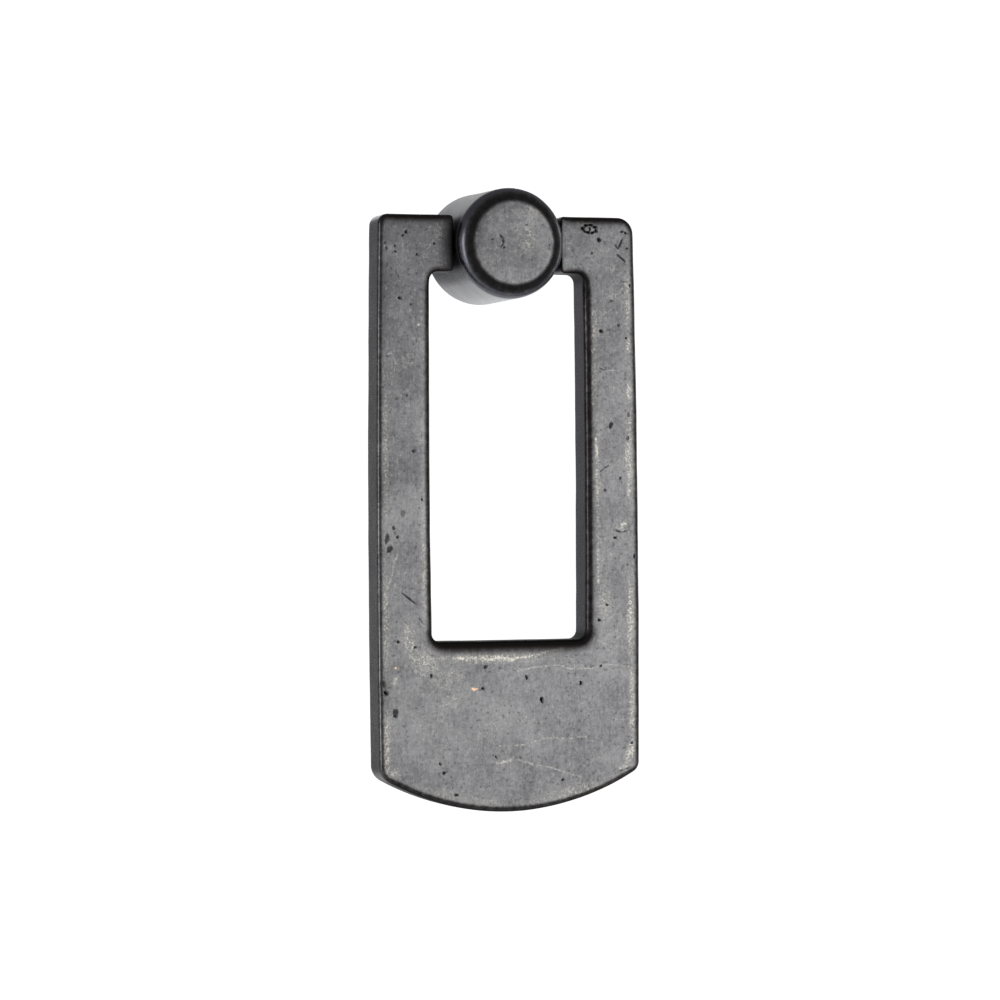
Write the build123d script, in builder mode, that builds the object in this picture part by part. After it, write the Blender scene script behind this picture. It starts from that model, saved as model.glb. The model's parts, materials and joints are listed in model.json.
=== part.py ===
from build123d import *

import math
import os

# Drop pull: a turned post that screws to a drawer front, and a flat cast bail that hangs on it.
# The bail swings on a plain pin that runs through the post from side to side.
# Millimetres. The origin is the centre of the post's back face, which seats on the drawer front.
# +Z is up, +Y points into the drawer front and -Y to the person who pulls.

# Post
post_diameter = 16.0
post_back_diameter = 16.3
post_length = 16.5
post_rim_radius = 2.0
post_back_edge = 0.3

# Tapped hole in the post's back, drilled for an 8-32 screw
screw_hole_diameter = 3.46
screw_hole_depth = 7.5
drill_point_angle = 118.0

# Pivot
pivot_standoff = 10.9
pin_diameter = 3.0
pin_running_clearance = 0.04
pin_bite = 5.5
pin_recess = 0.12
pin_chamfer = 0.25
blind_hole_spare = 0.5

# Bail: a slab with a window, cut open at the top between its two lugs
bail_thickness = 5.5
bail_drop = 81.5
bail_width_top = 38.6
bail_width_foot = 39.35
side_bow = 0.33
foot_arc_radius = 37.4
lug_height = 8.26
lug_clearance = 0.2
window_width = 23.2
window_bow = 0.13
window_drop = 56.9

# Softened edges of the bail: what a hand meets is rounder than what faces the drawer
front_edge_radius = 0.65
back_edge_radius = 0.6

# Corners of the bail, seen from the front
top_corner_radius = 1.8
foot_corner_radius = 1.8
window_corner_radius = 1.7
lug_corner_margin = 0.15
lug_corner_radius = front_edge_radius + lug_corner_margin

# Two points this near count as the same place
same_place = 0.01


def post_radius_at(standoff):
    """Radius of the slightly flared post at a distance from its back face."""
    straight_length = post_length - post_rim_radius
    share = min(standoff / straight_length, 1.0)
    return (post_back_diameter + (post_diameter - post_back_diameter) * share) / 2


bail_back = pivot_standoff - bail_thickness / 2
lug_reach = post_radius_at(bail_back) + lug_clearance
lug_top = lug_height / 2
lug_underside = -lug_height / 2

pivot_plane = Plane(origin=(0, -pivot_standoff, 0), x_dir=(0, 1, 0), z_dir=(1, 0, 0))
pin_tip = -(lug_reach + pin_bite)
pin_head = bail_width_top / 2 - pin_recess

# The post is turned: a near-straight barrel with a well rounded front rim.
with BuildPart() as post:
    with BuildSketch(Plane.XY):
        with BuildLine():
            front_radius = post_diameter / 2
            back_radius = post_back_diameter / 2
            rim_start = (front_radius, -(post_length - post_rim_radius))
            rim_end = (front_radius - post_rim_radius, -post_length)
            Polyline((0, -post_length), (0, 0), (back_radius, 0), rim_start)
            RadiusArc(rim_start, rim_end, post_rim_radius)
            Line(rim_end, (0, -post_length))
        make_face()
    revolve(axis=Axis.Y)
    back_rim = post.edges().filter_by(GeomType.CIRCLE).sort_by(Axis.Y)[-1]
    fillet(back_rim, post_back_edge)

    # Blind tapped hole with the cone that the drill leaves
    drill_radius = screw_hole_diameter / 2
    cone_depth = drill_radius / math.tan(math.radians(drill_point_angle / 2))
    with BuildSketch(Plane.XY):
        with BuildLine():
            Polyline(
                (0, 0),
                (drill_radius, 0),
                (drill_radius, -screw_hole_depth),
                (0, -screw_hole_depth - cone_depth),
                close=True,
            )
        make_face()
    revolve(axis=Axis.Y, mode=Mode.SUBTRACT)

    # Cross bore that the pin turns in
    with Locations(pivot_plane):
        Hole(radius=pin_diameter / 2 + pin_running_clearance)

# The bail is one casting.
with BuildPart() as bail:
    with BuildSketch(Plane.XZ.offset(bail_back)) as outline:
        top_half = bail_width_top / 2
        foot_half = bail_width_foot / 2
        window_half = window_width / 2
        arc_rise = foot_arc_radius - math.sqrt(foot_arc_radius**2 - foot_half**2)
        foot_corner = -bail_drop + arc_rise
        belly = (top_half + foot_half) / 2 + side_bow
        belly_height = (lug_top + foot_corner) / 2
        window_belly = window_half + window_bow
        window_middle = (lug_underside - window_drop) / 2
        with BuildLine():
            Line((lug_reach, lug_top), (top_half, lug_top))
            ThreePointArc((top_half, lug_top), (belly, belly_height), (foot_half, foot_corner))
            ThreePointArc((foot_half, foot_corner), (0, -bail_drop), (-foot_half, foot_corner))
            ThreePointArc((-foot_half, foot_corner), (-belly, belly_height), (-top_half, lug_top))
            Polyline(
                (-top_half, lug_top),
                (-lug_reach, lug_top),
                (-lug_reach, lug_underside),
                (-window_half, lug_underside),
            )
            ThreePointArc(
                (-window_half, lug_underside),
                (-window_belly, window_middle),
                (-window_half, -window_drop),
            )
            Line((-window_half, -window_drop), (window_half, -window_drop))
            ThreePointArc(
                (window_half, -window_drop),
                (window_belly, window_middle),
                (window_half, lug_underside),
            )
            Polyline(
                (window_half, lug_underside),
                (lug_reach, lug_underside),
                (lug_reach, lug_top),
            )
        make_face()
        corners = outline.vertices()
        lug_corners = corners.filter_by(lambda v: abs(abs(v.X) - lug_reach) < same_place)
        window_corners = corners.filter_by(lambda v: abs(abs(v.X) - window_half) < same_place)
        top_corners = corners.filter_by(lambda v: abs(abs(v.X) - top_half) < same_place)
        foot_corners = corners.filter_by(lambda v: abs(abs(v.X) - foot_half) < same_place)
        fillet(lug_corners, lug_corner_radius)
        fillet(window_corners, window_corner_radius)
        fillet(top_corners, top_corner_radius)
        fillet(foot_corners, foot_corner_radius)
    extrude(amount=bail_thickness)
    front_edges = bail.faces().sort_by(Axis.Y)[0].edges()
    back_edges = bail.faces().sort_by(Axis.Y)[-1].edges()
    fillet(front_edges, front_edge_radius)
    fillet(back_edges, back_edge_radius)

    # One hole, drilled from the right through a lug and on into the other, where it stays blind
    hole_end = pin_tip - blind_hole_spare
    beyond_side = belly + bail_thickness
    with BuildSketch(pivot_plane.offset(hole_end)):
        Circle(pin_diameter / 2)
    extrude(amount=beyond_side - hole_end, mode=Mode.SUBTRACT)

# The pin is driven into the bail and turns in the post.
with BuildPart() as pivot_pin:
    with BuildSketch(pivot_plane.offset(pin_tip)):
        Circle(pin_diameter / 2)
    extrude(amount=pin_head - pin_tip)
    chamfer(pivot_pin.edges().filter_by(GeomType.CIRCLE), pin_chamfer)

post.part.label = "post"
bail.part.label = "bail"
pivot_pin.part.label = "pivot_pin"

os.makedirs("parts", exist_ok=True)
export_step(post.part, "parts/post.step")
export_step(bail.part, "parts/bail.step")
export_step(pivot_pin.part, "parts/pivot_pin.step")
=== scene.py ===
import json
import math

import bmesh
import bpy
import numpy as np
from bpy.props import FloatProperty, FloatVectorProperty, PointerProperty
from mathutils import Matrix, Vector
from mathutils.geometry import delaunay_2d_cdt
from mathutils.kdtree import KDTree


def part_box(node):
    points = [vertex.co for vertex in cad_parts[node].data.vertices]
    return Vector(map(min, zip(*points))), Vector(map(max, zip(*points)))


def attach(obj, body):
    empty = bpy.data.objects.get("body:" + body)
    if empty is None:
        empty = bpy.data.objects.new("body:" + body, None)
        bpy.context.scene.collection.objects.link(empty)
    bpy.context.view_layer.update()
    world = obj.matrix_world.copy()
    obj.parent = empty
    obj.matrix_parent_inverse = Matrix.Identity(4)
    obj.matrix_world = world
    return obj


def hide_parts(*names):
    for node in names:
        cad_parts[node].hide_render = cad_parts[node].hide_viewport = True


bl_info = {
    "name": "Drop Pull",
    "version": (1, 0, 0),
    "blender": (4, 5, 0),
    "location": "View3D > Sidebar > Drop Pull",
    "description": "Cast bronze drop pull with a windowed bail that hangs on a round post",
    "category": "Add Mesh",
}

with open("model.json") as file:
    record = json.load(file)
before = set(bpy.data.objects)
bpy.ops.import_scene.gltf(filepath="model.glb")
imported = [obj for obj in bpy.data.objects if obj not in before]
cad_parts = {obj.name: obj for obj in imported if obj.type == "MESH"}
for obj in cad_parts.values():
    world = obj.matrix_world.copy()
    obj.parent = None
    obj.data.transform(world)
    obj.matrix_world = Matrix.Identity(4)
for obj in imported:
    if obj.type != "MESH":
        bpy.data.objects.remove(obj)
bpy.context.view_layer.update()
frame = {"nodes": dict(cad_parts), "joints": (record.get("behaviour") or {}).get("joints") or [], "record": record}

MM = 0.001

# Width of the picture in pixels, and of the camera's sensor in millimetres
IMAGE_WIDTH = 1000
SENSOR_WIDTH = 36.0

BAIL_LOW, BAIL_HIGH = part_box("bail")
POST_LOW, POST_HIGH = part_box("post")
PIN_LOW, PIN_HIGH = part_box("pivot_pin")
PIVOT = Vector(frame["joints"][0]["pos_m"])
SCREW_HOLE = next(m for m in frame["record"]["mounts"] if m["kind"] == "threaded_hole")

# How far the dressed surfaces stay inside the solids, so that no wave or dent leaves their box
SKIN = 0.02 * MM

# The pin turns in the post with a clearance, and its blind hole in the bail runs past its tip
PIN_RADIUS = (PIN_HIGH.z - PIN_LOW.z) / 2
PIN_CLEARANCE = 0.04 * MM
BLIND_HOLE_SPARE = 0.5 * MM

# Where the drills start, clear of the bail's side and of the post's barrel
BEYOND_SIDE = 30 * MM
BEYOND_BARREL = 12 * MM
DRILL_SEGMENTS = 96


# Sizes and colours that a user would change


def length(name, description, default_mm):
    """A length in metres, shown in the scene's own unit."""
    return FloatProperty(
        name=name,
        description=description,
        default=default_mm * MM,
        min=0.0,
        precision=5,
        subtype="DISTANCE",
        unit="LENGTH",
    )


def linear(hex_value):
    """sRGB hex to a linear colour with alpha."""
    channels = [int(hex_value[i : i + 2], 16) / 255 for i in (1, 3, 5)]
    values = [c / 12.92 if c <= 0.04045 else ((c + 0.055) / 1.055) ** 2.4 for c in channels]
    return (*values, 1.0)


def colour(name, description, hex_value):
    """A colour, written as sRGB hex and kept linear."""
    return FloatVectorProperty(
        name=name,
        description=description,
        default=linear(hex_value),
        size=4,
        min=0.0,
        max=1.0,
        subtype="COLOR",
    )


class DropPullBailSettings(bpy.types.PropertyGroup):
    """Shape of the cast bail."""

    top_width: length("Top width", "Width across the two lugs' outer corners", 38.6)
    foot_width: length("Foot width", "Width where the sides meet the arced foot", 39.35)
    foot_radius: length("Foot arc radius", "Radius of the arced foot", 37.4)
    foot_lean: length("Foot lean", "How far the foot's lowest point lies left of centre", 0.35)
    window_width: length("Window width", "Width of the window at its ends", 23.2)
    window_bow: length("Window bow", "How far each side of the window bows out", 0.13)
    window_drop: length("Window drop", "From the pivot down to the window's sill", 56.9)
    lug_gap: length("Lug gap", "Space between the post and each lug's end", 0.06)
    top_left_corner: length("Top left corner", "Radius of the outer corner on the left", 1.5)
    top_right_corner: length("Top right corner", "Radius of the outer corner on the right", 2.4)
    foot_corner: length("Foot corner", "Radius where a side meets the foot", 1.8)
    window_corner: length("Window corner", "Radius of the window's corners", 1.2)
    lug_corner: length("Lug corner", "Radius of the corners at a lug's end", 0.5)
    side_edge: length("Side edge", "Rounding of the front edge along the sides", 0.62)
    top_edge: length("Top edge", "Rounding of the front edge along the top", 0.7)
    foot_edge: length("Foot edge", "Rounding of the front edge along the foot", 0.75)
    lug_edge: length("Lug edge", "Rounding of the front edge at a lug's end", 0.35)
    window_edge: length("Window edge", "Rounding of the front edge along the window's sides", 0.9)
    sill_edge: length("Sill edge", "Rounding of the front edge along the window's sill", 1.1)
    back_edge: length("Back edge", "Rounding of the edges that face the drawer", 0.7)
    crown: length("Crown", "How far the face falls off towards its softest edges", 0.2)
    waviness: length("Waviness", "Height of the casting's slow waves", 0.035)


class DropPullPostSettings(bpy.types.PropertyGroup):
    """Shape of the turned post."""

    front_diameter: length("Front diameter", "Diameter behind the rounded rim", 16.0)
    rim_radius: length("Rim radius", "Rounding of the front rim", 2.0)
    back_edge: length("Back edge", "Rounding where the barrel meets its back face", 0.3)
    crown: length("Crown", "How far the face falls off towards its rim", 0.1)
    thread_pitch: length("Thread pitch", "Distance between the screw hole's threads", 0.794)
    thread_depth: length("Thread depth", "How deep the threads are cut into the hole's wall", 0.32)
    waviness: length("Waviness", "Height of the hand-dressed unevenness", 0.03)


class DropPullFinishSettings(bpy.types.PropertyGroup):
    """Colours of the finish."""

    rubbed: colour("Rubbed patina", "Darker clouds of the faces, rubbed back to grey", "#616163")
    pale: colour("Thin patina", "Lighter clouds of the faces, rubbed the most", "#959596")
    worn: colour("Worn patina", "Hairlines and crests where the bronze warms the grey", "#d0ccc1")
    dark: colour("Black patina", "Patina left whole on the edges", "#2f2a2a")
    wall: colour("Side patina", "Patina on the bail's narrow sides", "#64646d")
    barrel: colour("Barrel patina", "Patina on the post's barrel", "#5c5d66")
    # This black also paints shade beside the post, under the lugs and the foot, at the left lug's end and on the
    # barrel's top
    deposit_and_shade: colour("Deposit", "Black left in the pits", "#0e0e0f")
    bare: colour("Bare bronze", "Tiny spots where the patina has chipped off", "#eabf9f")
    steel: colour("Pin steel", "Blackened steel of the pin", "#3a3b3e")


class DropPullStageSettings(bpy.types.PropertyGroup):
    """Camera, lights and backdrop."""

    camera_place: FloatVectorProperty(
        name="Camera place",
        description="Where the camera stands",
        default=(-0.1745, -0.5277, -0.0373),
        subtype="TRANSLATION",
        unit="LENGTH",
    )
    camera_yaw: FloatProperty(
        name="Yaw",
        description="Turn of the view to the right of straight ahead",
        default=math.radians(18.60),
        subtype="ANGLE",
        unit="ROTATION",
    )
    camera_pitch: FloatProperty(
        name="Pitch",
        description="Tilt of the view above level",
        default=math.radians(0.06),
        subtype="ANGLE",
        unit="ROTATION",
    )
    camera_roll: FloatProperty(
        name="Roll",
        description="Turn of the camera about its own view",
        default=math.radians(-0.425),
        subtype="ANGLE",
        unit="ROTATION",
    )
    focal_pixels: FloatProperty(
        name="Focal length",
        description="Focal length in pixels of the picture",
        default=3785.5,
    )
    floor_drop: length("Floor drop", "From the pivot down to the floor", 450.0)
    card_distance: length("Card distance", "From the wall plane back to the white card", 1100.0)
    card_left: FloatProperty(
        name="Card left", description="Left edge of the card", default=-0.12, unit="LENGTH"
    )
    card_right: FloatProperty(
        name="Card right", description="Right edge of the card", default=1.05, unit="LENGTH"
    )
    card_height: length("Card height", "Height of the white card", 1000.0)
    glow_start: FloatProperty(
        name="Glow start",
        description="Where the floor turns white, behind its pale front part",
        default=-0.12,
        unit="LENGTH",
    )
    floor: colour("Floor", "Paper floor", "#d9d9d9")
    backdrop: colour("Backdrop", "Paper card behind the object", "#ffffff")


# Small tools


def smooth_step(low, high, value):
    """0 below low, 1 above high and a soft rise between."""
    share = np.clip((value - low) / (high - low), 0.0, 1.0)
    return share * share * (3 - 2 * share)


def slow_waves(points, wavelength, seed):
    """A smooth random field of about -1 to 1 over 3-D points: a few plane waves of like length."""
    dice = np.random.default_rng(seed)
    field = np.zeros(len(points))
    count = 14
    for _ in range(count):
        direction = dice.normal(size=3)
        direction /= np.linalg.norm(direction)
        size = wavelength * dice.uniform(0.7, 1.6)
        field += np.sin(points @ direction * (2 * math.pi / size) + dice.uniform(0, 2 * math.pi))
    return field / math.sqrt(count)


def set_values(mesh, key, values):
    """Keeps one float per point, which the finish reads."""
    layer = mesh.attributes.new(key, "FLOAT", "POINT")
    layer.data.foreach_set("value", np.asarray(values, dtype=np.float32))


def add_mesh(name, points, faces, attributes):
    """A mesh object at the origin with float values on its points."""
    mesh = bpy.data.meshes.new(name)
    mesh.from_pydata([tuple(p) for p in points], [], faces)
    for key, values in attributes.items():
        set_values(mesh, key, values)
    mesh.update()
    made = bpy.data.objects.new(name, mesh)
    bpy.context.scene.collection.objects.link(made)
    return made


def ring_faces(rings, size):
    """Quads between rings of points that follow each other."""
    faces = []
    for first in range(0, (rings - 1) * size, size):
        for i in range(size):
            j = (i + 1) % size
            faces.append((first + i, first + j, first + size + j, first + size + i))
    return faces


def face_outwards(piece):
    """Turns every face of a closed piece to the outside."""
    builder = bmesh.new()
    builder.from_mesh(piece.data)
    bmesh.ops.recalc_face_normals(builder, faces=builder.faces)
    builder.to_mesh(piece.data)
    builder.free()


def read_vectors(mesh, key):
    """The points' places or normals as rows."""
    values = np.zeros(len(mesh.vertices) * 3)
    mesh.vertices.foreach_get(key, values)
    return values.reshape(-1, 3)


def uneven_depth(points, height, long_wave, short_wave, seed):
    """How deep the slow unevenness of a hand-dressed surface lies at each point."""
    waves = slow_waves(points, long_wave, seed) * 0.6
    waves = waves + slow_waves(points, short_wave, seed + 1) * 0.25
    return height * np.clip(1 + waves, 0, 2.4)


def press_in(mesh, points, normals, depth, pit):
    """Sinks each point along its normal and keeps how much of it lies in a pit."""
    mesh.vertices.foreach_set("co", (points - normals * depth[:, None]).ravel())
    set_values(mesh, "pit", pit)
    mesh.update()


def drill(piece, radius, start, end, axis_point):
    """Cuts a round hole along X from start to end, on a line through a point of its axis."""
    bit_mesh = bpy.data.meshes.new("drill_bit")
    builder = bmesh.new()
    middle = Vector(((start + end) / 2, axis_point.y, axis_point.z))
    turn = Matrix.Rotation(math.pi / 2, 4, "Y")
    bmesh.ops.create_cone(
        builder,
        cap_ends=True,
        segments=DRILL_SEGMENTS,
        radius1=radius,
        radius2=radius,
        depth=end - start,
        matrix=Matrix.Translation(middle) @ turn,
    )
    builder.to_mesh(bit_mesh)
    builder.free()
    bit = bpy.data.objects.new("drill_bit", bit_mesh)
    bpy.context.scene.collection.objects.link(bit)
    cut = piece.modifiers.new("hole", "BOOLEAN")
    cut.operation = "DIFFERENCE"
    cut.solver = "EXACT"
    cut.object = bit
    graph = bpy.context.evaluated_depsgraph_get()
    drilled = bpy.data.meshes.new_from_object(piece.evaluated_get(graph))
    piece.modifiers.clear()
    piece.data = drilled
    bpy.data.objects.remove(bit)


def shade(piece, crease_degrees=38):
    """Smooth shading with hard edges only where the surface turns sharply."""
    piece.data.shade_smooth()
    piece.data.set_sharp_from_angle(angle=math.radians(crease_degrees))


# Outline of the bail, seen from the front


def side_points(start, end, bow, count=60):
    """Points of an arc from start to end that bows to its right by bow; a line if bow is 0."""
    start = np.array(start)
    end = np.array(end)
    along = end - start
    size = np.linalg.norm(along)
    across = np.array((along[1], -along[0])) / size
    share = np.linspace(0, 1, count)[:, None]
    if abs(bow) < 1e-9:
        return start + along * share
    radius = (size * size / 4 + bow * bow) / (2 * bow)
    reach = (share - 0.5) * size
    rise = np.sign(radius) * np.sqrt(radius * radius - reach * reach) - (radius - bow)
    return start + along * share + across * rise


def round_corner(before, corner, after, radius):
    """Trims two point runs that meet at a corner and returns them with the arc between them."""
    into = corner - before[-2]
    out = after[1] - corner
    into = into / np.linalg.norm(into)
    out = out / np.linalg.norm(out)
    turn = math.acos(float(np.clip(into @ out, -1, 1)))
    cut = radius * math.tan(turn / 2)
    start = trim(before[::-1], cut)[::-1]
    end = trim(after, cut)
    weight = math.cos(turn / 2)
    share = np.linspace(0, 1, 14)[1:-1, None]
    blend = (1 - share) ** 2 + 2 * weight * share * (1 - share) + share**2
    arc = (1 - share) ** 2 * start[-1] + 2 * weight * share * (1 - share) * corner
    arc = (arc + share**2 * end[0]) / blend
    return start, arc, end


def trim(run, cut):
    """Drops a length from the start of a point run."""
    steps = np.linalg.norm(np.diff(run, axis=0), axis=1)
    travelled = np.concatenate(([0], np.cumsum(steps)))
    first = np.array([np.interp(cut, travelled, run[:, i]) for i in range(2)])
    return np.vstack((first[None], run[travelled > cut + 1e-9]))


class Outline:
    """The bail's closed outline: points at even steps, outward normals and kinds of edge."""

    def __init__(self, bail, post_radius, step=0.27 * MM):
        top = BAIL_HIGH.z - SKIN
        underside = 2 * PIVOT.z - BAIL_HIGH.z + SKIN
        foot = BAIL_LOW.z + SKIN
        top_half = bail.top_width / 2
        foot_half = bail.foot_width / 2
        rise = bail.foot_radius - math.sqrt(bail.foot_radius**2 - foot_half**2)
        foot_top = foot + rise
        belly = BAIL_HIGH.x - SKIN - (top_half + foot_half) / 2
        belly -= (foot_half - top_half) ** 2 / (16 * belly)
        reach = post_radius + bail.lug_gap
        window = bail.window_width / 2
        sill = PIVOT.z - bail.window_drop
        lean = bail.foot_lean
        apex = (-lean, foot)
        left_foot = (-foot_half, foot_top - lean / 3)
        right_foot = (foot_half, foot_top + lean / 3)
        left_rise = foot_rise(left_foot, apex, bail.foot_radius)
        right_rise = foot_rise(apex, right_foot, bail.foot_radius)

        # Clockwise from the right lug's end, so that the outside lies to the left of each run.
        # Each row is a start, its bow, the radius of its start corner and the kind of its edge.
        rows = [
            ((reach, top), 0, bail.lug_corner, "top"),
            ((top_half, top), -belly, bail.top_right_corner, "right side"),
            (right_foot, -right_rise, bail.foot_corner, "foot"),
            (apex, -left_rise, 0, "foot"),
            (left_foot, -belly, 1.5 * bail.foot_corner, "left side"),
            ((-top_half, top), 0, bail.top_left_corner, "top"),
            ((-reach, top), 0, bail.lug_corner, "left lug end"),
            ((-reach, underside), 0, bail.lug_corner, "underside"),
            ((-window, underside), bail.window_bow, bail.window_corner, "window"),
            ((-window, sill), 0, bail.window_corner, "sill"),
            ((window, sill), bail.window_bow, bail.window_corner, "window"),
            ((window, underside), 0, bail.window_corner, "underside"),
            ((reach, underside), 0, bail.lug_corner, "right lug end"),
        ]
        # Each kind of edge: its rounding, the width over which the face falls off to it, how much
        # of the crown it falls, the width over which the black patina fades, and how far its wall is
        # made black, which is painted shade under the foot and the lugs and a darkening on the sill's wall
        kinds = {
            "top": (bail.top_edge, 1.6 * MM, 0.6 * bail.crown, 0.8 * MM, 0.0),
            "left side": (bail.side_edge, 1.0 * MM, 0.15 * bail.crown, 0.12 * MM, 0.0),
            "right side": (bail.side_edge, 1.0 * MM, 0.2 * bail.crown, 0.5 * MM, 0.0),
            "foot": (bail.foot_edge, 1.2 * MM, 0.25 * bail.crown, 0.35 * MM, 0.8),
            "left lug end": (bail.lug_edge, 1.8 * MM, 0.5 * bail.crown, 0.6 * MM, 0.0),
            "right lug end": (0.6 * bail.lug_edge, 0.8 * MM, 0.1 * bail.crown, 0.1 * MM, 0.0),
            "underside": (bail.lug_edge, 1.2 * MM, 0.3 * bail.crown, 0.7 * MM, 0.9),
            "window": (bail.window_edge, 1.2 * MM, 0.4 * bail.crown, 0.45 * MM, 0.0),
            "sill": (bail.sill_edge, 1.8 * MM, bail.crown, 1.4 * MM, 0.9),
        }
        self.build(rows, kinds, step)

    def build(self, rows, kinds, step):
        """Rounds the corners, spaces the points evenly and softens the steps between edges."""
        count = len(rows)
        runs = [side_points(rows[i][0], rows[(i + 1) % count][0], rows[i][1]) for i in range(count)]
        edges = [np.array(kinds[row[3]]) for row in rows]
        arcs = {}
        for i, row in enumerate(rows):
            if row[2] > 0:
                corner = np.array(row[0])
                before, arc, after = round_corner(runs[i - 1], corner, runs[i], row[2])
                runs[i - 1] = before
                runs[i] = after
                arcs[i] = arc
        points = []
        values = []
        for i in range(count):
            if i in arcs:
                here = (edges[i - 1] + edges[i]) / 2
                if is_hollow(runs[i - 1], runs[i]):
                    here[4] = max(edges[i - 1][4], edges[i][4])
                else:
                    here[0] = min(edges[i - 1][0], edges[i][0], 0.75 * rows[i][2])
                points.append(arcs[i])
                values.append(np.tile(here, (len(arcs[i]), 1)))
            points.append(runs[i])
            values.append(np.tile(edges[i], (len(runs[i]), 1)))
        loop, values = even_steps(np.vstack(points), np.vstack(values), step)
        ahead = np.roll(loop, -1, axis=0) - np.roll(loop, 1, axis=0)
        ahead /= np.linalg.norm(ahead, axis=1)[:, None]
        blurred = [blur_loop(values[:, i], int(1.2 * MM / step)) for i in range(5)]
        self.points = loop
        self.normals = np.stack((-ahead[:, 1], ahead[:, 0]), axis=1)
        self.rounding, self.fall_width, self.fall, self.fade, self.deposit_and_shade = blurred
        self.tilt = np.arctan(2 * self.fall / self.fall_width)


def foot_rise(start, end, radius):
    """How far the foot's arc rises over the straight line between two of its points."""
    half = math.dist(start, end) / 2
    return radius - math.sqrt(radius * radius - half * half)


def is_hollow(before, after):
    """True where the outline turns left, at a corner of the window."""
    into = before[-1] - before[-2]
    out = after[1] - after[0]
    return into[0] * out[1] - into[1] * out[0] > 0


def even_steps(loop, values, step):
    """Resamples a closed loop, and the values along it, at even steps."""
    closed = np.vstack((loop, loop[:1]))
    steps = np.linalg.norm(np.diff(closed, axis=0), axis=1)
    travelled = np.concatenate(([0], np.cumsum(steps)))
    count = int(travelled[-1] / step)
    places = np.linspace(0, travelled[-1], count, endpoint=False)
    spread = np.vstack((values, values[:1]))
    out = np.stack([np.interp(places, travelled, closed[:, i]) for i in range(2)], axis=1)
    columns = range(values.shape[1])
    return out, np.stack([np.interp(places, travelled, spread[:, i]) for i in columns], axis=1)


def blur_loop(values, half_width):
    """Running mean round a closed loop."""
    kernel = np.hanning(2 * half_width + 3)[1:-1]
    kernel /= kernel.sum()
    padded = np.concatenate((values[-half_width:], values, values[:half_width]))
    return np.convolve(padded, kernel, mode="valid")


def inside(loop, points):
    """Even-odd test of points against a closed loop."""
    result = np.zeros(len(points), dtype=bool)
    ends = np.roll(loop, -1, axis=0)
    for (x1, y1), (x2, y2) in zip(loop, ends):
        if y1 == y2:
            continue
        crosses = (y1 > points[:, 1]) != (y2 > points[:, 1])
        at = x1 + (points[:, 1] - y1) * (x2 - x1) / (y2 - y1)
        result ^= crosses & (points[:, 0] < at)
    return result


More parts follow.
